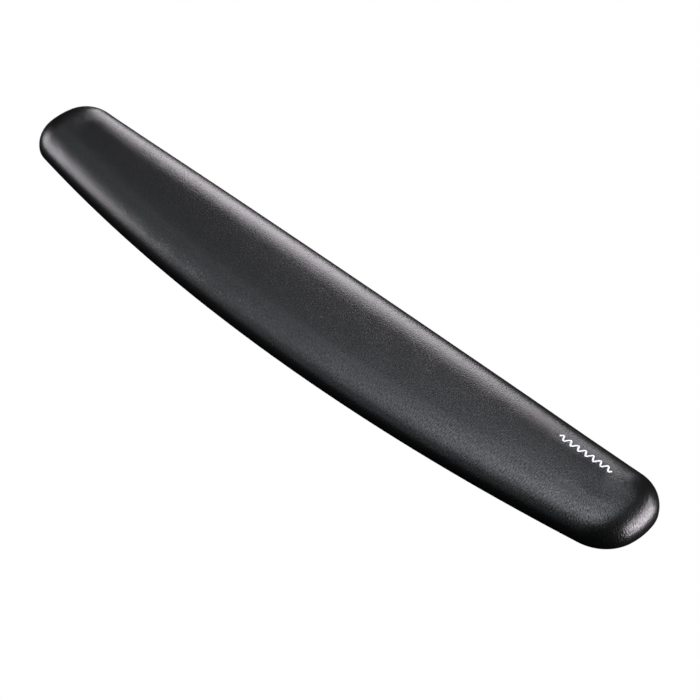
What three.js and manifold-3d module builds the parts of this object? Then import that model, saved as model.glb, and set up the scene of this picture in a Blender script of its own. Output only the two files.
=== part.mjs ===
// A gel wrist rest for a full-size keyboard, in millimetres.
// +X runs along the rest, +Y points to the keyboard and +Z up; the origin is on the desk, under its middle.
// From the desk up it is a non-slip sheet, an adhesive sheet, a stiff board, a foam bed and a gel pad
// welded into two films, all held in a leatherette cover whose hem is turned under the board.
import * as THREE from "three";
import { mergeVertices } from "three/addons/utils/BufferGeometryUtils.js";
import Module from "manifold-3d";

const wasm = await Module();
wasm.setup();

// Plan: the user's edge is a long bow, the keyboard's edge is nearly straight, and the ends are round.
const LENGTH = 480;
const DEPTH = 74;
const FRONT_BOW = 22.2;
const BACK_BOW = 1.93;
const END_BULGE = 7.3;
const FRONT_CORNER_RADIUS = 24;
const BACK_CORNER_RADIUS = 21.5;

// Section: the side is widest low down, and a broad shoulder rises from there to the level top.
const HEIGHT = 20;
const WIDEST_HEIGHT = 2.8;
const SHOULDER_WIDTH = 21;
const LOWER_TUCK = 1.2;

// Layers, from the desk up.
const NONSLIP_THICKNESS = 1.2;
const NONSLIP_INSET = 4;
const ADHESIVE_THICKNESS = 0.2;
const ADHESIVE_INSET = 5;
const COVER_THICKNESS = 1;
const HEM_WIDTH = 11;
const BOARD_THICKNESS = 1.5;
const FOAM_THICKNESS = 4;
const FILM_THICKNESS = 0.4;
const WELD_WIDTH = 4;
const FITTING_GAP = 0.3;
const GLUE_LINE = 0.1;

// The printed mark: a plain wavy line near the right-hand end, on the keyboard's side of the top.
const MARK_CENTRE = new THREE.Vector2(192.5, 18);
const MARK_LENGTH = 35;
const MARK_SWING = 1.7;
const MARK_WAVES = 7;
const MARK_STROKE = 1;
const INK_THICKNESS = 0.1;
const INK_GAP = 0.05;

// How finely the curves are cut into flats.
const FRONT_STEPS = 10;
const BACK_STEPS = 6;
const END_STEPS = 2;
const CORNER_STEPS = 7;
const SHOULDER_STEPS = 7;
const TUCK_STEPS = 2;
const STEPS_PER_WAVE = 8;

// Heights of the faces where the layers meet.
const COVER_BOTTOM = NONSLIP_THICKNESS + ADHESIVE_THICKNESS;
const HEM_TOP = COVER_BOTTOM + COVER_THICKNESS;
const BOARD_RIM_BOTTOM = HEM_TOP + GLUE_LINE;
const BOARD_TOP = BOARD_RIM_BOTTOM + BOARD_THICKNESS;
const FOAM_TOP = BOARD_TOP + FOAM_THICKNESS;
const LOWER_FILM_TOP = FOAM_TOP + FILM_THICKNESS;
const WELD_TOP = LOWER_FILM_TOP + FILM_THICKNESS;

// How far in from the cover's outer surface each curved layer begins.
const FILLING_INSET = COVER_THICKNESS + FITTING_GAP;
const FILM_INNER_INSET = FILLING_INSET + FILM_THICKNESS;
const GEL_INSET = FILM_INNER_INSET + FITTING_GAP;

// A circle through both ends of a chord that bulges by bow at its middle.
function radiusOfBow(halfChord, bow) {
  return (halfChord ** 2 + bow ** 2) / (2 * bow);
}

// The circle of the given radius that touches two larger circles from inside. Seen from the edge's
// centre towards the end's centre, it lies on the left for side 1 and on the right for side -1.
function cornerCircle(edge, end, radius, side) {
  const fromEdge = edge.radius - radius;
  const fromEnd = end.radius - radius;
  const between = end.centre.clone().sub(edge.centre);
  const apart = between.length();
  const along = (fromEdge ** 2 - fromEnd ** 2 + apart ** 2) / (2 * apart);
  const across = Math.sqrt(fromEdge ** 2 - along ** 2);
  const direction = between.normalize();
  const sideways = new THREE.Vector2(-direction.y, direction.x);
  const centre = edge.centre.clone();
  centre.addScaledVector(direction, along);
  centre.addScaledVector(sideways, side * across);
  return { centre, radius };
}

// The angle at which one circle touches the other that lies inside it.
function touchingAngle(outer, inner) {
  return inner.centre.clone().sub(outer.centre).angle();
}

// The arcs of the plan's right half, from the middle of the user's edge round to the keyboard's edge.
function rightHalfArcs() {
  const frontRadius = radiusOfBow(LENGTH / 2, FRONT_BOW);
  const backRadius = radiusOfBow(LENGTH / 2, BACK_BOW);
  const front = { centre: new THREE.Vector2(0, frontRadius - DEPTH / 2), radius: frontRadius };
  const back = { centre: new THREE.Vector2(0, DEPTH / 2 - backRadius), radius: backRadius };
  const endLow = FRONT_BOW - DEPTH / 2;
  const endHigh = DEPTH / 2 - BACK_BOW;
  const endRadius = radiusOfBow((endHigh - endLow) / 2, END_BULGE);
  const endCentre = new THREE.Vector2(LENGTH / 2 - endRadius, (endLow + endHigh) / 2);
  const end = { centre: endCentre, radius: endRadius };
  const frontCorner = cornerCircle(front, end, FRONT_CORNER_RADIUS, 1);
  const backCorner = cornerCircle(back, end, BACK_CORNER_RADIUS, -1);
  const turn = 2 * Math.PI;
  const frontTouch = touchingAngle(front, frontCorner) - turn;
  const endStart = touchingAngle(end, frontCorner) - turn;
  const endStop = touchingAngle(end, backCorner);
  const backTouch = touchingAngle(back, backCorner);
  return [
    { circle: front, from: -Math.PI / 2, to: frontTouch, steps: FRONT_STEPS },
    { circle: frontCorner, from: frontTouch, to: endStart, steps: CORNER_STEPS },
    { circle: end, from: endStart, to: 0, steps: END_STEPS },
    { circle: end, from: 0, to: endStop, steps: END_STEPS },
    { circle: backCorner, from: endStop, to: backTouch, steps: CORNER_STEPS },
    { circle: back, from: backTouch, to: Math.PI / 2, steps: BACK_STEPS },
  ];
}

const ARCS = rightHalfArcs();

// The plan's outline, moved in evenly by inset: every arc keeps its centre and loses radius.
function outline(inset) {
  const right = [];
  for (const { circle, from, to, steps } of ARCS) {
    const radius = circle.radius - inset;
    const arc = new THREE.EllipseCurve(circle.centre.x, circle.centre.y, radius, radius, from, to);
    const points = arc.getPoints(steps);
    right.push(...(right.length ? points.slice(1) : points));
  }
  const left = right.slice(1, -1).reverse();
  return new THREE.Shape([...right, ...left.map((point) => new THREE.Vector2(-point.x, point.y))]);
}

// A closed geometry as a solid that can be cut and joined.
function solidOf(geometry) {
  geometry.deleteAttribute("normal");
  geometry.deleteAttribute("uv");
  const merged = mergeVertices(geometry);
  const mesh = new wasm.Mesh({
    numProp: 3,
    vertProperties: merged.attributes.position.array,
    triVerts: new Uint32Array(merged.index.array),
  });
  return new wasm.Manifold(mesh);
}

// A flat sheet of the plan's outline between two heights.
function sheet(inset, low, high) {
  const geometry = new THREE.ExtrudeGeometry(outline(inset), { depth: high - low, bevelEnabled: false });
  return solidOf(geometry.translate(0, 0, low));
}

// The whole space under the padded surface, which lies inset below the cover's outer surface.
// Its upper edge is a quarter ellipse as wide as the shoulder, down to the widest height.
function underPaddedSurface(inset) {
  const shoulder = SHOULDER_WIDTH - inset;
  const geometry = new THREE.ExtrudeGeometry(outline(inset), {
    depth: WIDEST_HEIGHT,
    bevelThickness: HEIGHT - inset - WIDEST_HEIGHT,
    bevelSize: shoulder,
    bevelOffset: -shoulder,
    bevelSegments: SHOULDER_STEPS,
  });
  return solidOf(geometry);
}

// The part of the padded space between two heights.
function paddedLayer(inset, low, high) {
  return underPaddedSurface(inset).intersect(sheet(inset - 1, low, high));
}

// A prism whose side pulls in again below the widest height, down to the cover's underside.
function tuckedSide() {
  const geometry = new THREE.ExtrudeGeometry(outline(0), {
    depth: HEIGHT,
    bevelThickness: WIDEST_HEIGHT - COVER_BOTTOM,
    bevelSize: LOWER_TUCK,
    bevelOffset: -LOWER_TUCK,
    bevelSegments: TUCK_STEPS,
  });
  return solidOf(geometry.translate(0, 0, WIDEST_HEIGHT));
}

// The cover is one skin: padded top, rolled lower edge, and a hem turned under the board.
function leatheretteCover() {
  const outside = underPaddedSurface(0).intersect(tuckedSide());
  const hollow = paddedLayer(COVER_THICKNESS, HEM_TOP, HEIGHT);
  const opening = sheet(HEM_WIDTH, 0, HEM_TOP + COVER_THICKNESS);
  return outside.subtract(hollow).subtract(opening);
}

// The upper film is a dome with an upright wall and a flat weld rim that lies on the lower film.
function gelFilmUpper() {
  const outside = paddedLayer(FILLING_INSET, LOWER_FILM_TOP, HEIGHT);
  const dome = outside.intersect(sheet(FILLING_INSET + WELD_WIDTH, LOWER_FILM_TOP, HEIGHT));
  const rim = paddedLayer(FILLING_INSET, LOWER_FILM_TOP, WELD_TOP);
  const inside = sheet(FILM_INNER_INSET + WELD_WIDTH, LOWER_FILM_TOP - FILM_THICKNESS, HEIGHT);
  return dome.add(rim).subtract(underPaddedSurface(FILM_INNER_INSET).intersect(inside));
}

// The gel fills the pouch, down to the lower film.
function gelPad() {
  return paddedLayer(GEL_INSET, LOWER_FILM_TOP, HEIGHT).intersect(
    sheet(GEL_INSET + WELD_WIDTH, LOWER_FILM_TOP, HEIGHT),
  );
}

// The lower film is a flat sheet welded to the rim of the upper one.
function gelFilmLower() {
  return paddedLayer(FILLING_INSET, FOAM_TOP, LOWER_FILM_TOP);
}

// The foam bed lies on the board and fills the cover's width under the gel.
function foamBed() {
  return paddedLayer(FILLING_INSET, BOARD_TOP, FOAM_TOP);
}

// The board's rim is rebated underneath, so that the turned hem lies flush with its middle.
function baseBoard() {
  const plate = sheet(FILLING_INSET + FITTING_GAP, BOARD_RIM_BOTTOM, BOARD_TOP);
  const middle = sheet(HEM_WIDTH + FITTING_GAP, COVER_BOTTOM, BOARD_TOP);
  return plate.add(middle);
}

// The adhesive sheet holds the non-slip sheet to the board and to the hem.
function baseAdhesive() {
  return sheet(ADHESIVE_INSET, NONSLIP_THICKNESS, COVER_BOTTOM);
}

// The non-slip sheet lies on the desk, a little inside the cover's edge.
function nonslipBase() {
  return sheet(NONSLIP_INSET, 0, NONSLIP_THICKNESS);
}

// A ribbon along a wavy line, as a flat outline: one side forwards, the other side back.
function waveOutline() {
  const steps = MARK_WAVES * STEPS_PER_WAVE;
  const upper = [];
  const lower = [];
  for (let step = 0; step <= steps; step++) {
    const share = step / steps;
    const phase = 2 * Math.PI * MARK_WAVES * share;
    const slope = (2 * Math.PI * MARK_WAVES * MARK_SWING * Math.cos(phase)) / MARK_LENGTH;
    const point = new THREE.Vector2((share - 0.5) * MARK_LENGTH, MARK_SWING * Math.sin(phase));
    const normal = new THREE.Vector2(-slope, 1).normalize().multiplyScalar(MARK_STROKE / 2);
    point.add(MARK_CENTRE);
    upper.push(point.clone().add(normal));
    lower.push(point.clone().sub(normal));
  }
  return new THREE.Shape([...lower, ...upper.reverse()]);
}

// The ink is a thin skin that follows the cover's surface inside the ribbon.
function printedMark() {
  const ribbon = new THREE.ExtrudeGeometry(waveOutline(), { depth: 2 * HEIGHT, bevelEnabled: false });
  const inkTop = underPaddedSurface(-INK_GAP - INK_THICKNESS);
  return inkTop.subtract(underPaddedSurface(-INK_GAP)).intersect(solidOf(ribbon));
}

// A named mesh of one solid, with the part's own material.
function part(name, solid, color, roughness) {
  const { vertProperties, triVerts } = solid.getMesh();
  const geometry = new THREE.BufferGeometry();
  geometry.setAttribute("position", new THREE.BufferAttribute(vertProperties, 3));
  geometry.setIndex(new THREE.BufferAttribute(triVerts, 1));
  geometry.computeVertexNormals();
  const material = new THREE.MeshStandardMaterial({ color, roughness, metalness: 0 });
  const mesh = new THREE.Mesh(geometry, material);
  mesh.name = name;
  return mesh;
}

const wristRest = new THREE.Group();
wristRest.add(
  part("nonslip_base", nonslipBase(), 0x151515, 0.85),
  part("base_adhesive", baseAdhesive(), 0xd8cfa8, 0.5),
  part("base_board", baseBoard(), 0x1c1c1d, 0.6),
  part("foam_bed", foamBed(), 0x3a3a3c, 0.95),
  part("gel_film_lower", gelFilmLower(), 0xcfd6da, 0.35),
  part("gel_pad", gelPad(), 0x9fb8c8, 0.2),
  part("gel_film_upper", gelFilmUpper(), 0xcfd6da, 0.35),
  part("leatherette_cover", leatheretteCover(), 0x1b1b1d, 0.45),
  part("printed_mark", printedMark(), 0xe6e6e6, 0.5),
);

export default wristRest;
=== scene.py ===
"""The wrist rest's looks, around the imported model: soft parts, skin, materials, light and camera.

Every length is in metres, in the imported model's frame: +X along the rest, +Y to the keyboard, +Z up.
"""
import math

import bpy
import numpy as np
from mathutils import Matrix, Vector, interpolate, noise
from mathutils.bvhtree import BVHTree


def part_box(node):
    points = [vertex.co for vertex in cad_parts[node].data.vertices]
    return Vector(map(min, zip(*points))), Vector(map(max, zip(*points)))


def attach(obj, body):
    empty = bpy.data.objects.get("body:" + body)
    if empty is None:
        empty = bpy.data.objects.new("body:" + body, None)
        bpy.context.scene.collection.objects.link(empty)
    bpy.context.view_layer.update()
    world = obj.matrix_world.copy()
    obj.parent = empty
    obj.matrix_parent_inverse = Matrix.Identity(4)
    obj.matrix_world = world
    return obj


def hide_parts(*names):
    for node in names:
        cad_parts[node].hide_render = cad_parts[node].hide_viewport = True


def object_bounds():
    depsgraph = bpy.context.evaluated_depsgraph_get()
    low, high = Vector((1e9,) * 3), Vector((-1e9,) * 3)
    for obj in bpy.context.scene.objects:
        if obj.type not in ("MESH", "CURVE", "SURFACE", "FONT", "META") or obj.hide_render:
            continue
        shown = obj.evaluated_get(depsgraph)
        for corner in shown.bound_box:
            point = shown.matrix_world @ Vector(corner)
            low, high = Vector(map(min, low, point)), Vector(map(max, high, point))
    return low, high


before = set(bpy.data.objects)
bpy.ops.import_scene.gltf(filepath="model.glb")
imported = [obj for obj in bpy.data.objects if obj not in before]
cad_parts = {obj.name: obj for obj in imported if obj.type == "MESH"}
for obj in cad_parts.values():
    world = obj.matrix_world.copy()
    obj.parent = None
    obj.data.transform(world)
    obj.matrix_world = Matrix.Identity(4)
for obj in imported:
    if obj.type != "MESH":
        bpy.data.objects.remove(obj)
cad_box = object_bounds()

MM = 0.001

# The plan's shape: how far each edge bows, and the corner radii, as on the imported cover.
FRONT_BOW = 22.2 * MM
BACK_BOW = 1.93 * MM
END_BULGE = 7.3 * MM
FRONT_CORNER = 24 * MM
BACK_CORNER = 21.5 * MM

# The section's shape: widest low down, then a shoulder, tighter at the front, then a crowned top.
WIDEST_HEIGHT = 2.8 * MM
LOWER_TUCK = 1.2 * MM
FRONT_SHOULDER = 20 * MM
BACK_SHOULDER = 28 * MM
FRONT_POWER = 2.1
BACK_POWER = 2.4
FRONT_CROWN = 0.3 * MM
BACK_CROWN = 1.0 * MM
END_DROOP = 0.5 * MM

# Round a corner the shoulder changes a little faster than the outline turns. From END_START outwards
# the back shoulder gets narrower, so that it fits round the back corner.
SHOULDER_TURN = 1.2
END_START = 170 * MM
END_NARROWING = 0.22

# Two sizes of slight lumps: height, length, depth (in MM) and their place in the noise.
LUMPS = ((0.10, 45, 30, 1.3), (0.05, 14, 11, 7.1))

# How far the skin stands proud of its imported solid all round.
SWELL = 0.5 * MM

# How the skin settles: pressure inside it, steps of time, and how far the point that moves most goes.
# The shell is the coarse skin that the cloth works on.
SETTLE_PRESSURE = 4
SETTLE_FRAMES = 20
SETTLE_MOST = 0.4 * MM
SHELL_STEPS = 90
SHELL_RINGS = 9
SHELL_ROWS = 12

# The skin, its hem, and the layers under it.
SKIN = 1.0 * MM
HEM_WIDTH = 11 * MM
FILM = 0.4 * MM
FITTING_GAP = 0.3 * MM
FILLING_INSET = SKIN + FITTING_GAP
GEL_INSET = FILLING_INSET + FILM + FITTING_GAP
WELD_WIDTH = 4 * MM

# How finely the plan's edge and the top are divided.
EDGE_STEPS = 320
TOP_ROWS = 16
LAST_RING = 18 * MM
SIDE_RINGS = 30
SIDE_CROWDING = 1.9
EDGE_DETAIL = 8
INNER_RINGS = 9
HEM_RINGS = 6
SLAB_RINGS = 6
TUCK_RINGS = 6
FILLING_RINGS = 12

cover_low, cover_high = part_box("leatherette_cover")
HALF_LENGTH = cover_high.x
HALF_DEPTH = cover_high.y
HEIGHT = cover_high.z


# ---------------------------------------------------------------- plan outline

def bow_radius(half_chord, bow):
    """The radius of an arc that bulges by bow over a chord."""
    return (half_chord**2 + bow**2) / (2 * bow)


FRONT_RADIUS = bow_radius(HALF_LENGTH, FRONT_BOW)
BACK_RADIUS = bow_radius(HALF_LENGTH, BACK_BOW)


def inner_circle(edge, end, radius, side):
    """The centre of a circle that touches two larger circles from inside."""
    (edge_centre, edge_radius), (end_centre, end_radius) = edge, end
    from_edge = edge_radius - radius
    from_end = end_radius - radius
    offset = end_centre - edge_centre
    apart = np.hypot(*offset)
    direction = offset / apart
    along = (from_edge**2 - from_end**2 + apart**2) / (2 * apart)
    across = math.sqrt(from_edge**2 - along**2)
    sideways = np.array([-direction[1], direction[0]])
    return edge_centre + direction * along + sideways * side * across


def angle_to(outer, inner):
    """The direction from one centre to another."""
    return math.atan2(inner[1] - outer[1], inner[0] - outer[0])


def quarter(edge, end, corner_radius, side):
    """The arcs from the right-hand tip to a long edge's middle: centre, radius, first and last angle."""
    corner = inner_circle(edge, end, corner_radius, side)
    from_end = angle_to(end[0], corner)
    from_edge = angle_to(edge[0], corner)
    middle = math.copysign(math.pi / 2, from_edge)
    return [
        (end[0], end[1], 0.0, from_end),
        (corner, corner_radius, from_end, from_edge),
        (edge[0], edge[1], from_edge, middle),
    ]


def sampled(arcs, steps):
    """Points and outward normals spaced evenly along the arcs."""
    lengths = [abs(last - first) * radius for _, radius, first, last in arcs]
    starts = np.concatenate([[0], np.cumsum(lengths)])
    points, normals = [], []
    for place in np.linspace(0, starts[-1], steps + 1):
        index = min(np.searchsorted(starts, place, side="right") - 1, len(arcs) - 1)
        centre, radius, first, last = arcs[index]
        angle = first + (last - first) * (place - starts[index]) / lengths[index]
        normal = np.array([math.cos(angle), math.sin(angle)])
        points.append(centre + radius * normal)
        normals.append(normal)
    return np.array(points), np.array(normals)


def mirrored_loop(front, back):
    """A loop anticlockwise from the left tip: along the front edge, the right tip and the back edge."""
    flip = np.array([-1.0, 1.0])
    return np.concatenate([front * flip, front[-2::-1], back[1:], (back * flip)[-2:0:-1]])


def plan_outline(steps):
    """Points and outward normals of the whole outline; half of them lie on the front edge."""
    front = (np.array([0, FRONT_RADIUS - HALF_DEPTH]), FRONT_RADIUS)
    back = (np.array([0, HALF_DEPTH - BACK_RADIUS]), BACK_RADIUS)
    end_low = FRONT_BOW - HALF_DEPTH
    end_high = HALF_DEPTH - BACK_BOW
    end_radius = bow_radius((end_high - end_low) / 2, END_BULGE)
    end = (np.array([HALF_LENGTH - end_radius, (end_low + end_high) / 2]), end_radius)
    front_points, front_normals = sampled(quarter(front, end, FRONT_CORNER, 1), steps // 2)
    back_points, back_normals = sampled(quarter(back, end, BACK_CORNER, -1), steps // 2)
    points = mirrored_loop(front_points, back_points)
    normals = mirrored_loop(front_normals, back_normals)
    return points + normals * SWELL, normals


def middle_and_reach(x):
    """The y of the rest's middle at x, and the half width there."""
    front = FRONT_RADIUS - HALF_DEPTH - np.sqrt(FRONT_RADIUS**2 - x**2)
    back = HALF_DEPTH - BACK_RADIUS + np.sqrt(BACK_RADIUS**2 - x**2)
    return (front + back) / 2, (back - front) / 2


EDGE, _ = plan_outline(EDGE_DETAIL * EDGE_STEPS)


def edge_distance(x, y):
    """How far each point lies inside the outline."""
    found = np.empty(len(x))
    for index, place in enumerate(np.column_stack([x, y])):
        found[index] = np.sqrt(((EDGE - place) ** 2).sum(1).min())
    return found


# ---------------------------------------------------------------- padded surface

def unevenness(x, y):
    """The slight lumps of a skin drawn over gel."""
    found = np.zeros(len(x))
    for height, length, depth, start in LUMPS:
        places = zip(x / (length * MM), y / (depth * MM))
        found += [height * noise.noise((along, across, start)) for along, across in places]
    return found * MM


def shoulder(x, facing):
    """The shoulder's width and roundness at x, where the outline faces front, -1, to back, 1."""
    share = 0.5 + 0.5 * np.clip(SHOULDER_TURN * facing, -1, 1)
    width = FRONT_SHOULDER + (BACK_SHOULDER - FRONT_SHOULDER) * share
    power = FRONT_POWER + (BACK_POWER - FRONT_POWER) * share
    near_end = np.clip((abs(x) - END_START) / (HALF_LENGTH - END_START), 0, 1)
    width *= 1 - END_NARROWING * share * near_end**2 * (3 - 2 * near_end)
    return width, power


def crown_drop(x, y):
    """How far the top falls away towards its edges and its ends."""
    middle, reach = middle_and_reach(x)
    across = (y - middle) / reach
    drop = np.where(across < 0, FRONT_CROWN, BACK_CROWN) * across**2
    past_half = np.clip(2 * abs(x) / HALF_LENGTH - 1, 0, 1)
    return drop + END_DROOP * past_half**2


def padded_height(x, y, distance, facing, inset=0.0):
    """The height of the surface that lies inset below the padded top, at a distance in from the outline.

    It is low by as much as the skin rises when it settles.
    """
    width, power = shoulder(x, facing)
    share = np.clip((distance - inset) / (width - inset), 0, 1)
    rise = (1 - (1 - share) ** power) ** (1 / power)
    top = HEIGHT - SETTLE_MOST - inset - crown_drop(x, y) + unevenness(x, y)
    return WIDEST_HEIGHT + rise * (top - WIDEST_HEIGHT)


def side_inset(height, x, facing, inset):
    """About how far in the shoulder is at a height, on the surface that lies inset inside the skin's."""
    width, power = shoulder(x, facing)
    rise = (height - WIDEST_HEIGHT) / (HEIGHT - BACK_CROWN - inset - WIDEST_HEIGHT)
    share = 1 - (1 - rise**power) ** (1 / power)
    return inset + share * (width - inset)


class Plan:
    """The outline sampled for one piece, and the rings and patches of surface built on it."""

    def __init__(self, steps=EDGE_STEPS):
        self.steps = steps
        self.points, self.normals = plan_outline(steps)

    def place(self, inset):
        """The outline's places, moved in by inset."""
        return self.points - self.normals * np.reshape(inset, (-1, 1))

    def ring(self, inset, height):
        """The outline moved in by inset, at one height."""
        place = self.place(inset)
        return np.column_stack([place, np.full(len(place), height)])

    def padded_ring(self, distance, inset=0.0):
        """The ring on the padded surface at a distance in from the outline."""
        place = self.place(distance)
        height = padded_height(*place.T, distance, self.normals[:, 1], inset)
        return np.column_stack([place, height])

    def side_inset(self, height, inset):
        """About how far in from the outline the padded surface's shoulder is at one height."""
        return side_inset(height, self.points[:, 0], self.normals[:, 1], inset)

    def side_ring(self, height, inset, step=0.0):
        """The ring at one height on the shoulder of the padded surface, and step further in."""
        return self.ring(self.side_inset(height, inset) + step, height)

    def patch(self, ring, rows, height):
        """The rows of points that close a ring, from its front half to its back half."""
        known = np.column_stack([ring[:, :2], self.normals[:, 1]])
        front = known[1:self.steps]
        back = known[:self.steps:-1]
        shares = np.linspace(0, 1, rows + 1)[1:-1]
        inner = np.concatenate([front * (1 - share) + back * share for share in shares])
        return np.column_stack([inner[:, :2], height(*inner.T)])


def level(height):
    """A flat patch's height."""
    return lambda x, y, facing: np.full(len(x), height)


def domed(inset=0.0):
    """A padded patch's height."""
    return lambda x, y, facing: padded_height(x, y, edge_distance(x, y), facing, inset)


def strip_faces(count, rings):
    """The quads between successive rings of count points."""
    here = np.arange(count)
    after = (here + 1) % count
    low = (np.arange(rings - 1) * count)[:, None]
    quads = np.stack([low + here, low + after, low + count + after, low + count + here], -1)
    return quads.reshape(-1, 4)


def patch_faces(ring_start, patch_start, steps, rows):
    """The faces of a patch: front half of the ring, inner rows, back half of the ring."""
    width = steps - 1
    front = ring_start + np.arange(1, steps)
    back = ring_start + 2 * steps - np.arange(1, steps)
    inner = patch_start + np.arange(width * (rows - 1)).reshape(rows - 1, width)
    lines = np.vstack([front[None], inner, back[None]])
    quads = np.stack([lines[:-1, :-1], lines[:-1, 1:], lines[1:, 1:], lines[1:, :-1]], -1)
    left_tip, right_tip = ring_start, ring_start + steps
    ends = [[left_tip, low, high] for low, high in zip(lines[:-1, 0], lines[1:, 0])]
    ends += [[right_tip, high, low] for low, high in zip(lines[:-1, -1], lines[1:, -1])]
    return quads.reshape(-1, 4).tolist() + ends


def lofted(name, plan, rings, bottom, top, rows=TOP_ROWS):
    """A closed solid through rings from its lower or inner patch to its upper or outer one."""
    count = 2 * plan.steps
    lower = plan.patch(rings[0], rows, bottom)
    upper = plan.patch(rings[-1], rows, top)
    points = np.concatenate([*rings, lower, upper])
    lower_start = count * len(rings)
    upper_start = lower_start + len(lower)
    faces = strip_faces(count, len(rings)).tolist()
    faces += [face[::-1] for face in patch_faces(0, lower_start, plan.steps, rows)]
    faces += patch_faces(count * (len(rings) - 1), upper_start, plan.steps, rows)
    return mesh_object(name, points, faces)


def mesh_object(name, points, faces, smooth=True):
    """An object from points and faces."""
    mesh = bpy.data.meshes.new(name)
    mesh.from_pydata(points.tolist(), [], faces)
    mesh.update()
    mesh.polygons.foreach_set("use_smooth", [smooth] * len(mesh.polygons))
    made = bpy.data.objects.new(name, mesh)
    bpy.context.scene.collection.objects.link(made)
    return made


def places_of(mesh):
    """The mesh's points, one to a row."""
    places = np.empty(len(mesh.vertices) * 3)
    mesh.vertices.foreach_get("co", places)
    return places.reshape(-1, 3)


# ---------------------------------------------------------------- settling

def make_shell():
    """A coarse closed shell of the skin, for the cloth to work on."""
    plan = Plan(SHELL_STEPS)
    rings = [plan.ring(LOWER_TUCK, cover_low.z), plan.ring(0, WIDEST_HEIGHT)]
    rings += [plan.padded_ring(distance) for distance in np.linspace(0.5 * MM, LAST_RING, SHELL_RINGS)]
    return lofted("shell", plan, rings, level(cover_low.z), domed(), rows=SHELL_ROWS)


def swollen(shell, held):
    """Where the shell's points go when pressure swells it as cloth, with the held points fast."""
    shell.vertex_groups.new(name="held").add(held, 1.0, "REPLACE")
    cloth = shell.modifiers.new("cloth", "CLOTH")
    cloth.settings.vertex_group_mass = "held"
    cloth.settings.use_pressure = True
    cloth.settings.uniform_pressure_force = SETTLE_PRESSURE
    cloth.settings.effector_weights.gravity = 0
    scene = bpy.context.scene
    for moment in range(1, SETTLE_FRAMES + 1):
        scene.frame_set(moment)
    found = places_of(shell.evaluated_get(bpy.context.evaluated_depsgraph_get()).data)
    scene.frame_set(1)
    return found


def settle(cover):
    """Swells the skin over the gel: moves it as the cloth moves, scaled down to what the gel allows."""
    shell = make_shell()
    rest = places_of(shell.data)
    held = np.flatnonzero(rest[:, 2] <= WIDEST_HEIGHT).tolist()
    faces = [list(face.vertices) for face in shell.data.polygons]
    moved = swollen(shell, held) - rest
    moved *= SETTLE_MOST / np.linalg.norm(moved, axis=1).max()
    bpy.data.objects.remove(shell)
    surface = BVHTree.FromPolygons(rest.tolist(), faces)
    places = places_of(cover.data)
    for index, place in enumerate(places):
        nearest, _, face, _ = surface.find_nearest(place)
        corners = faces[face]
        weights = interpolate.poly_3d_calc([rest[corner].tolist() for corner in corners], nearest)
        places[index] += np.array(weights) @ moved[corners]
    cover.data.vertices.foreach_set("co", places.ravel())
    cover.data.update()


# ---------------------------------------------------------------- cover

def rolled_out(plan, rings):
    """Each ring's place if the skin were laid flat: side and hem go on outwards from the last ring."""
    flat = [plan.place(LAST_RING)]
    for inner, outer in zip(rings[:0:-1], rings[-2::-1]):
        step = np.linalg.norm(outer - inner, axis=1)
        flat.append(flat[-1] + plan.normals * step[:, None])
    return np.concatenate(flat[::-1])


def store_rolled_out(cover, plan, rings):
    """Keeps the laid-flat places on the mesh, for the grain to follow."""
    places = places_of(cover.data)
    flat = rolled_out(plan, rings)
    places[:len(flat), :2] = flat
    places[:, 2] = 0
    kept = cover.data.attributes.new("rolled_out", "FLOAT_VECTOR", "POINT")
    kept.data.foreach_set("vector", places.ravel())


def make_cover():
    """The skin: inner face, turned hem, rolled lower edge, side, shoulder and crowned top."""
    plan = Plan()
    hem_low = cover_low.z
    hem_high = hem_low + SKIN
    hem_middle = HEM_WIDTH * 0.6
    hem_flat = np.linspace(HEM_WIDTH * 0.8, LOWER_TUCK + 0.8 * MM, HEM_RINGS)
    inner_round = 0.3 * MM
    rings = [plan.padded_ring(distance, SKIN) for distance in np.linspace(LAST_RING, SKIN, INNER_RINGS)]
    rings.append(plan.ring(SKIN, hem_high + inner_round))
    rings.append(plan.ring(SKIN + inner_round, hem_high))
    rings.append(plan.ring(hem_middle, hem_high))
    edge_turn = SKIN / 2
    for angle in np.radians(np.linspace(0, 180, HEM_RINGS)):
        inset = HEM_WIDTH - edge_turn + edge_turn * math.sin(angle)
        rings.append(plan.ring(inset, hem_low + edge_turn * (1 + math.cos(angle))))
    rings += [plan.ring(inset, hem_low) for inset in hem_flat]
    tuck_height = WIDEST_HEIGHT - hem_low
    for angle in np.radians(np.linspace(0, 90, TUCK_RINGS + 1))[1:]:
        inset = LOWER_TUCK * (1 - math.sin(angle))
        rings.append(plan.ring(inset, WIDEST_HEIGHT - tuck_height * math.cos(angle)))
    for share in np.linspace(0, 1, SIDE_RINGS + 1)[1:]:
        rings.append(plan.padded_ring(LAST_RING * share**SIDE_CROWDING))
    cover = lofted("padded_cover", plan, rings, domed(SKIN), domed())
    store_rolled_out(cover, plan, rings)
    settle(cover)
    return cover


# ---------------------------------------------------------------- filling

def filling_plan():
    """The outline, sampled half as finely as for the skin."""
    return Plan(EDGE_STEPS // 2)


def make_slab(name, low, high, inset):
    """A flat layer that all but reaches the cover all round, with slightly rounded edges."""
    plan = filling_plan()
    edge = min(0.3 * MM, (high - low) / 3)
    rings = [plan.side_ring(low, inset, edge)]
    rings += [plan.side_ring(height, inset) for height in np.linspace(low + edge, high - edge, SLAB_RINGS)]
    rings.append(plan.side_ring(high, inset, edge))
    return lofted(name, plan, rings, level(low), level(high))


def make_foam():
    """The foam sheet between the pouch and the board."""
    low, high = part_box("foam_bed")
    return make_slab("foam_core", low.z, high.z, FILLING_INSET)


def make_lower_film():
    """The flat film under the gel."""
    low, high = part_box("gel_film_lower")
    return make_slab("pouch_bottom", low.z, high.z, FILLING_INSET)


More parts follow.
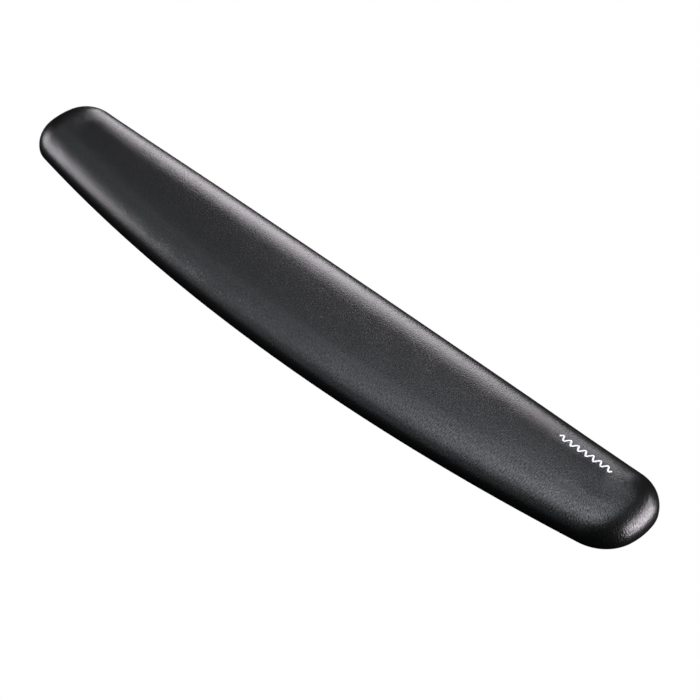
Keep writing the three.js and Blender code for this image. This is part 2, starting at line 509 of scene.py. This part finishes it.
def wall_top(distance, inset):
    """The lowest height of the padded surface at a distance in, along the whole outline."""
    return Plan().padded_ring(distance, inset)[:, 2].min()


def make_gel():
    """The gel: a flat base, an upright wall that rounds over, and the padded top."""
    plan = filling_plan()
    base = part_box("gel_pad")[0].z
    wall = GEL_INSET + WELD_WIDTH
    edge = 0.8 * MM
    rings = [plan.ring(wall + edge, base), plan.ring(wall, base + edge)]
    rings.append(plan.ring(wall, wall_top(wall, GEL_INSET) - edge))
    top = np.linspace(wall + edge, LAST_RING, FILLING_RINGS)
    rings += [plan.padded_ring(distance, GEL_INSET) for distance in top]
    return lofted("gel_core", plan, rings, level(base), domed(GEL_INSET))


def make_upper_film():
    """The pouch's top: a thin dome over the gel, with a flat rim welded to the bottom film."""
    plan = filling_plan()
    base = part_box("gel_film_upper")[0].z
    rim_top = base + FILM
    outside = FILLING_INSET + WELD_WIDTH
    inside = outside + FILM
    inner_inset = FILLING_INSET + FILM
    rim = plan.side_inset(rim_top, FILLING_INSET)
    edge = 0.5 * MM
    inner = np.linspace(LAST_RING, inside + edge, FILLING_RINGS)
    outer = np.linspace(outside + edge, LAST_RING, FILLING_RINGS)
    rings = [plan.padded_ring(distance, inner_inset) for distance in inner]
    rings.append(plan.ring(inside, wall_top(inside, inner_inset) - edge))
    rings += [plan.ring(inside, base), plan.ring(rim, base)]
    rings += [plan.ring(rim, rim_top), plan.ring(outside, rim_top)]
    rings.append(plan.ring(outside, wall_top(outside, FILLING_INSET) - edge))
    rings += [plan.padded_ring(distance, FILLING_INSET) for distance in outer]
    return lofted("pouch_top", plan, rings, domed(inner_inset), domed(FILLING_INSET))


# ---------------------------------------------------------------- non-slip sheet

RELIEF_DEPTH = 0.35 * MM
RELIEF_PITCH = 4.4 * MM
RELIEF_GAP = 0.9 * MM
RELIEF_MARGIN = 3.4 * MM


def relief_places(inset):
    """The middles of the raised diamonds, in staggered rows that stay inside the sheet's edge."""
    columns = int(HALF_LENGTH / RELIEF_PITCH) * 2
    rows = int(HALF_DEPTH / RELIEF_PITCH) * 2
    grid = [
        (column * RELIEF_PITCH / 2, row * RELIEF_PITCH / 2)
        for column in range(-columns, columns + 1)
        for row in range(-rows, rows + 1)
        if (column + row) % 2 == 0
    ]
    x, y = np.array(grid).T
    middle, reach = middle_and_reach(x)
    inside = (abs(y - middle) < reach) & (edge_distance(x, y) > inset + RELIEF_MARGIN)
    return np.column_stack([x, y])[inside]


def diamond_faces(count):
    """The faces of count frustums of eight points each, closed all round."""
    sides = [[side, (side + 1) % 4, 4 + (side + 1) % 4, 4 + side] for side in range(4)]
    faces = np.array([[3, 2, 1, 0], [4, 5, 6, 7], *sides])
    return (faces + 8 * np.arange(count)[:, None, None]).reshape(-1, 4)[:, ::-1]


def make_nonslip():
    """A thin rubber sheet with small raised diamonds underneath, which stand on the desk."""
    low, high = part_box("nonslip_base")
    inset = HALF_LENGTH + SWELL - high.x
    plan = filling_plan()
    under = low.z + RELIEF_DEPTH
    edge = 0.2 * MM
    rings = [plan.ring(inset + edge, under), plan.ring(inset, under + edge)]
    rings += [plan.ring(inset, high.z - edge), plan.ring(inset + edge, high.z)]
    sheet = lofted("nonslip_sheet", plan, rings, level(under), level(high.z))
    corners = np.array([(1, 0), (0, 1), (-1, 0), (0, -1)])
    half = (RELIEF_PITCH - RELIEF_GAP) / 2
    rooted = under + 0.1 * MM
    root = np.column_stack([corners * half, np.full(4, rooted)])
    face = np.column_stack([corners * (half - RELIEF_DEPTH), np.full(4, low.z)])
    shape = np.concatenate([root, face])
    places = relief_places(inset)
    points = (shape + np.column_stack([places, np.zeros(len(places))])[:, None]).reshape(-1, 3)
    diamonds = mesh_object("diamonds", points, diamond_faces(len(places)).tolist(), smooth=False)
    with bpy.context.temp_override(active_object=sheet, selected_editable_objects=[sheet, diamonds]):
        bpy.ops.object.join()
    return sheet


# ---------------------------------------------------------------- printed mark

MARK_WAVES = 7
MARK_SWING = 1.7 * MM
MARK_STROKE = 1.0 * MM
INK_STEPS = 20

# The stroke's section: places across it, in half strokes, and their heights above the skin, in MM.
INK_SECTION = ((-1, 0.02), (-0.94, 0.07), (-0.5, 0.09), (0.5, 0.09), (0.94, 0.07), (1, 0.02))


def make_mark(cover):
    """A wavy line of ink that follows the skin near the right-hand end."""
    skin = BVHTree.FromObject(cover, bpy.context.evaluated_depsgraph_get())
    above = 2 * HEIGHT
    low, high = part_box("printed_mark")
    centre = (low + high) / 2
    length = high.x - low.x - MARK_STROKE
    share = np.linspace(0, 1, MARK_WAVES * INK_STEPS + 1)
    phase = 2 * math.pi * MARK_WAVES * share
    path = np.column_stack([centre.x + (share - 0.5) * length, centre.y + MARK_SWING * np.sin(phase)])
    slope = np.gradient(path[:, 1], path[:, 0])
    normal = np.column_stack([-slope, np.ones(len(slope))]) / np.hypot(slope, 1)[:, None]
    half = MARK_STROKE / 2
    rails = []
    for side, lift in INK_SECTION:
        place = path + normal * side * half
        height = [skin.ray_cast((*point, above), (0, 0, -1))[0].z for point in place]
        rails.append(np.column_stack([place, np.array(height) + lift * MM]))
    sides = len(INK_SECTION)
    points = np.stack(rails, 1).reshape(-1, 3)
    faces = strip_faces(sides, len(path)).tolist()
    faces.append(list(range(sides)))
    faces.append(list(range(len(points) - 1, len(points) - sides - 1, -1)))
    return mesh_object("ink_wave", points, faces)


# ---------------------------------------------------------------- materials

def new_material(name):
    """A material with a principled shader."""
    material = bpy.data.materials.new(name)
    material.use_nodes = True
    return material, material.node_tree, material.node_tree.nodes["Principled BSDF"]


def put(tree, target, value):
    """Sets a node's input, or links it where the value is another node's output."""
    if isinstance(value, bpy.types.NodeSocket):
        tree.links.new(value, target)
    else:
        target.default_value = value


def node(tree, kind, output, inputs=(), **settings):
    """Adds a node, and returns one of its outputs."""
    made = tree.nodes.new("ShaderNode" + kind)
    for name, value in settings.items():
        setattr(made, name, value)
    for name, value in dict(inputs).items():
        put(tree, made.inputs[name], value)
    return made.outputs[output]


def sum_up(tree, operation, *values):
    """Adds a math node, and returns its result."""
    made = tree.nodes.new("ShaderNodeMath")
    made.operation = operation
    for target, value in zip(made.inputs, values):
        put(tree, target, value)
    return made.outputs[0]


def between(tree, value, low, high, first=0.0, last=1.0):
    """Maps a value from low..high to first..last, smoothly, and keeps it there."""
    ends = {"Value": value, "From Min": low, "From Max": high, "To Min": first, "To Max": last}
    return node(tree, "MapRange", "Result", ends, interpolation_type="SMOOTHSTEP")


def grey(value, blue=1.0):
    """A grey, or a slightly bluish one."""
    return (value, value, value * blue, 1)


# The mix node's colour sockets, which share their names with its number sockets.
MIX_FIRST = 6
MIX_SECOND = 7
MIX_RESULT = 2


def shades(tree, share, dark, light):
    """A colour between two, by share."""
    made = tree.nodes.new("ShaderNodeMix")
    made.data_type = "RGBA"
    put(tree, made.inputs["Factor"], share)
    put(tree, made.inputs[MIX_FIRST], dark)
    put(tree, made.inputs[MIX_SECOND], light)
    return made.outputs[MIX_RESULT]


def along_and_across(tree, place):
    """A place's x and y, as separate values."""
    made = tree.nodes.new("ShaderNodeSeparateXYZ")
    tree.links.new(place, made.inputs[0])
    return made.outputs["X"], made.outputs["Y"]


def bump(tree, shader, height, depth):
    """Gives the shader a relief of a real depth."""
    normal = node(tree, "Bump", "Normal", {"Height": height, "Distance": depth, "Strength": 1.0})
    tree.links.new(normal, shader.inputs["Normal"])


def fine_noise(tree, vector, size, detail=2.0, roughness=0.5, dimensions="3D"):
    """Noise with spots of a real size."""
    inputs = {"Vector": vector, "Scale": 1 / size, "Detail": detail, "Roughness": roughness}
    return node(tree, "TexNoise", "Fac", inputs, noise_dimensions=dimensions)


# The creases: their width and length, and ridges whose pitch drifts from place to place.
WRINKLE_WIDTH = 0.5 * MM
WRINKLE_LENGTH = 1.8 * MM
DRIFT_SIZE = 3.5 * MM
DRIFT = 11
RIDGES = 0.8
RIDGE_SHARE = 0.08

# Round the ends the creases fan out from a middle. They start to turn just before it and have turned
# just past it; right at the middle they don't turn. ENDS_APART keeps the two ends from being alike.
FAN_X = 200 * MM
FAN_Y = 10 * MM
FAN_RADIUS = 26 * MM
FAN_TURN = (-12 * MM, 10 * MM)
FAN_EYE = (6 * MM, 16 * MM)
ENDS_APART = 5.0

# The grain: soft pebbles among the creases, all of it in patches.
PEBBLE_SIZE = 1.0 * MM
PEBBLE_SHARE = 0.25
PATCH_SIZE = 17 * MM
PATCH_DEPTH = 0.7
GRAIN_DEPTH = 0.11 * MM
GRAIN_MIDDLE = 0.57
GRAIN_RANGE = 0.85
MOST_ROUGH = 0.34
LEAST_ROUGH = 0.26

# The skin is drawn smooth along the back, and its grain is weaker at the left end than at the right.
SMOOTH_BACK = 24 * MM
CREASED_FRONT = -14 * MM
SMOOTH_SHARE = 0.35
LEFT_RELIEF = 1.0
RIGHT_RELIEF = 1.2
LEFT_CONTRAST = 0.45
RIGHT_CONTRAST = 1.45


def crease_height(tree, place, drift):
    """Short creases: noise, and ridges of a drifting pitch that give it some order."""
    along, _ = along_and_across(tree, place)
    ridges = sum_up(tree, "SINE", sum_up(tree, "MULTIPLY_ADD", along, math.pi * RIDGES, drift))
    return sum_up(tree, "MULTIPLY_ADD", ridges, RIDGE_SHARE, fine_noise(tree, place, 1.0, detail=1.0))


def wrinkles(tree, flat):
    """Fine creases across the rest, which fan out round both ends."""
    x, y = along_and_across(tree, flat)
    end = sum_up(tree, "SIGN", x)
    beyond = sum_up(tree, "SUBTRACT", sum_up(tree, "ABSOLUTE", x), FAN_X)
    aside = sum_up(tree, "SUBTRACT", y, FAN_Y)
    turn = sum_up(tree, "ARCTAN2", aside, beyond)
    spoke = node(tree, "CombineXYZ", "Vector", {"X": beyond, "Y": aside})
    radius = node(tree, "VectorMath", "Value", {"Vector": spoke}, operation="LENGTH")
    straight = node(tree, "CombineXYZ", "Vector", {
        "X": sum_up(tree, "DIVIDE", x, WRINKLE_WIDTH),
        "Y": sum_up(tree, "DIVIDE", y, WRINKLE_LENGTH),
    })
    fanned = node(tree, "CombineXYZ", "Vector", {
        "X": sum_up(tree, "MULTIPLY", turn, FAN_RADIUS / WRINKLE_WIDTH),
        "Y": sum_up(tree, "DIVIDE", radius, WRINKLE_LENGTH),
        "Z": sum_up(tree, "MULTIPLY", end, ENDS_APART),
    })
    drift = sum_up(tree, "MULTIPLY", fine_noise(tree, flat, DRIFT_SIZE, 2.0, dimensions="2D"), DRIFT)
    creases = [crease_height(tree, vector, drift) for vector in (straight, fanned)]
    share = sum_up(tree, "MULTIPLY", between(tree, beyond, *FAN_TURN), between(tree, radius, *FAN_EYE))
    return node(tree, "Mix", 0, {"Factor": share, "A": creases[0], "B": creases[1]})


def leatherette():
    """Black coated cloth with a fine grain: soft pebbles, and creases that come and go in patches."""
    material, tree, shader = new_material("leatherette")
    flat = node(tree, "Attribute", "Vector", attribute_name="rolled_out")
    x, y = along_and_across(tree, flat)
    blotches = fine_noise(tree, flat, PATCH_SIZE, 1.0, dimensions="2D")
    patches = between(tree, blotches, 0.3, 0.66, PATCH_DEPTH, 1)
    pull = between(tree, y, SMOOTH_BACK, CREASED_FRONT, SMOOTH_SHARE, 1)
    pebbles = node(
        tree, "TexVoronoi", "Distance", {"Vector": flat, "Scale": 1 / PEBBLE_SIZE, "Smoothness": 0.5},
        voronoi_dimensions="2D", feature="SMOOTH_F1",
    )
    grain = sum_up(tree, "MULTIPLY_ADD", pebbles, PEBBLE_SHARE, wrinkles(tree, flat))
    relief = sum_up(tree, "SUBTRACT", grain, GRAIN_MIDDLE)
    dents = between(tree, x, -HALF_LENGTH, HALF_LENGTH, LEFT_RELIEF, RIGHT_RELIEF)
    depth = sum_up(tree, "MULTIPLY", patches, dents)
    bump(tree, shader, sum_up(tree, "MULTIPLY", relief, depth), GRAIN_DEPTH)
    contrast = between(tree, x, -HALF_LENGTH, HALF_LENGTH, LEFT_CONTRAST, RIGHT_CONTRAST)
    sheen = sum_up(tree, "MULTIPLY", relief, sum_up(tree, "MULTIPLY", pull, contrast))
    tree.links.new(shades(tree, pebbles, grey(0.002), grey(0.005)), shader.inputs["Base Color"])
    shine = between(tree, sheen, -GRAIN_RANGE, GRAIN_RANGE, 0, 1)
    dullness = between(tree, sheen, -GRAIN_RANGE, GRAIN_RANGE, MOST_ROUGH, LEAST_ROUGH)
    tree.links.new(shine, shader.inputs["Specular IOR Level"])
    tree.links.new(dullness, shader.inputs["Roughness"])
    shader.inputs["IOR"].default_value = 1.5
    return material


def mottled(name, dark, light, size, roughness, depth, transmission=0.0):
    """A plain material whose shade and relief vary a little."""
    material, tree, shader = new_material(name)
    place = node(tree, "TexCoord", "Object")
    spots = fine_noise(tree, place, size, 3.0, 0.6)
    tree.links.new(shades(tree, spots, dark, light), shader.inputs["Base Color"])
    bump(tree, shader, spots, depth)
    shader.inputs["Roughness"].default_value = roughness
    shader.inputs["Transmission Weight"].default_value = transmission
    return material


def foam_cells():
    """Open foam: small round pits between thin walls."""
    material, tree, shader = new_material("foam")
    place = node(tree, "TexCoord", "Object")
    cells = node(tree, "TexVoronoi", "Distance", {"Vector": place, "Scale": 1 / (1.1 * MM)})
    tree.links.new(shades(tree, cells, grey(0.075), grey(0.03)), shader.inputs["Base Color"])
    bump(tree, shader, sum_up(tree, "SUBTRACT", 1.0, cells), 0.4 * MM)
    shader.inputs["Roughness"].default_value = 0.95
    return material


# ---------------------------------------------------------------- the object

def place_piece(piece, material, cad_node):
    """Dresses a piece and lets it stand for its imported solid."""
    piece.data.materials.append(material)
    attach(piece, "root")
    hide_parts(cad_node)
    return piece


film = mottled("film", grey(0.60), grey(0.68, blue=1.05), 6 * MM, 0.35, 0.02 * MM, transmission=0.7)
gel = mottled("gel", (0.30, 0.44, 0.55, 1), (0.36, 0.52, 0.62, 1), 12 * MM, 0.2, 0.05 * MM, transmission=0.5)
rubber = mottled("rubber", grey(0.006), grey(0.010), 0.6 * MM, 0.8, 0.03 * MM)
ink = mottled("ink", grey(0.70), grey(0.84), 0.5 * MM, 0.5, 0.01 * MM)

cover = place_piece(make_cover(), leatherette(), "leatherette_cover")
foam = place_piece(make_foam(), foam_cells(), "foam_bed")
gel_core = place_piece(make_gel(), gel, "gel_pad")
pouch_top = place_piece(make_upper_film(), film, "gel_film_upper")
place_piece(make_lower_film(), film, "gel_film_lower")
place_piece(make_nonslip(), rubber, "nonslip_base")
place_piece(make_mark(cover), ink, "printed_mark")

board = mottled("board", grey(0.010), grey(0.014), 1.5 * MM, 0.6, 0.03 * MM)
adhesive = mottled("adhesive", (0.66, 0.60, 0.36, 1), (0.72, 0.66, 0.42, 1), 5 * MM, 0.5, 0.02 * MM)
for cad_node, material in (("base_board", board), ("base_adhesive", adhesive)):
    for material_slot in bpy.data.objects[cad_node].material_slots:
        material_slot.material = material


# ---------------------------------------------------------------- studio

def look_from(azimuth, elevation):
    """The direction from a target to a camera or light."""
    a, e = math.radians(azimuth), math.radians(elevation)
    return Vector((math.sin(a) * math.cos(e), -math.cos(a) * math.cos(e), math.sin(e)))


# The camera: lens and sensor width in millimetres, its direction from the target, and how far away it is.
LENS = 86.55
SENSOR = 36
CAMERA_AZIMUTH = 45
CAMERA_ELEVATION = 45
CAMERA_DISTANCE = 0.94
CAMERA_TARGET = Vector((45.9, -8.5, 10)) * MM


def make_camera():
    """The camera, as the scene's own."""
    data = bpy.data.cameras.new("camera")
    data.sensor_width = SENSOR
    data.lens = LENS
    made = bpy.data.objects.new("camera", data)
    bpy.context.scene.collection.objects.link(made)
    back = look_from(CAMERA_AZIMUTH, CAMERA_ELEVATION)
    made.location = CAMERA_TARGET + back * CAMERA_DISTANCE
    made.rotation_mode = "QUATERNION"
    made.rotation_quaternion = back.to_track_quat("Z", "Y")
    bpy.context.scene.camera = made


def make_light(name, azimuth, elevation, distance, size, strength, color):
    """A soft rectangular light that faces the rest. Strength is its radiance."""
    width, height = size
    data = bpy.data.lights.new(name, "AREA")
    data.shape = "RECTANGLE"
    data.size = width
    data.size_y = height
    data.energy = strength * math.pi * width * height
    data.color = color
    made = bpy.data.objects.new(name, data)
    bpy.context.scene.collection.objects.link(made)
    back = look_from(azimuth, elevation)
    made.location = back * distance
    made.rotation_mode = "QUATERNION"
    made.rotation_quaternion = back.to_track_quat("Z", "Y")


STAGE_REACH = 7.5


def stage_material():
    """A plain white that glows evenly, so that the floor and the backdrop meet unseen."""
    material, _, shader = new_material("stage")
    shader.inputs["Base Color"].default_value = grey(0.0)
    shader.inputs["Roughness"].default_value = 1.0
    shader.inputs["Specular IOR Level"].default_value = 0
    shader.inputs["Emission Color"].default_value = grey(1.0)
    shader.inputs["Emission Strength"].default_value = 1.0
    return material


def make_stage():
    """A pale floor and a dome around it, which let the low lights reach the rest's ends."""
    corners = np.array([(-1, -1, 0), (1, -1, 0), (1, 1, 0), (-1, 1, 0)]) * STAGE_REACH
    floor = mesh_object("floor", corners + [0, 0, cad_box[0].z], [[0, 1, 2, 3]], smooth=False)
    bpy.ops.mesh.primitive_uv_sphere_add(radius=STAGE_REACH)
    backdrop = bpy.context.object
    backdrop.name = "backdrop"
    material = stage_material()
    for piece in (floor, backdrop):
        piece.visible_glossy = False
        piece.visible_diffuse = False
        piece.visible_shadow = False
        piece.data.materials.append(material)


COOL = (0.94, 1, 1.07)
WARM = (1.05, 1, 1.06)

make_camera()
make_stage()
world = bpy.data.worlds.new("world")
world.use_nodes = True
world.node_tree.nodes["Background"].inputs["Color"].default_value = grey(0.0)
bpy.context.scene.world = world
bpy.context.scene.view_settings.view_transform = "Standard"
make_light("overhead", 0, 70, distance=2.0, size=(1.6, 1.4), strength=2.8, color=COOL)
make_light("overhead_right", 15, 71, distance=2.0, size=(0.4, 0.4), strength=3, color=COOL)
make_light("overhead_back", 165, 78, distance=0.9, size=(1.0, 0.5), strength=1.5, color=COOL)
make_light("behind_back", 165, 64, distance=1.0, size=(0.6, 0.15), strength=3.5, color=COOL)
make_light("fill_front", 340, 42, distance=2.2, size=(0.9, 1.0), strength=1.7, color=COOL)
make_light("fill_low", 330, 26, distance=1.2, size=(1.4, 1.2), strength=0.5, color=COOL)
make_light("fill_left", 273, 60, distance=0.8, size=(0.7, 1.0), strength=0.6, color=COOL)
make_light("back_card", 214, 15.5, distance=3.0, size=(1.4, 1.4), strength=6.0, color=WARM)
make_light("left_card", 290, 10.5, distance=0.8, size=(0.38, 0.3), strength=6, color=WARM)
make_light("right_strip", 117, 4, distance=1.2, size=(0.9, 0.7), strength=11, color=WARM)
make_light("right_glow", 146, 17, distance=2.6, size=(0.4, 0.15), strength=25, color=WARM)
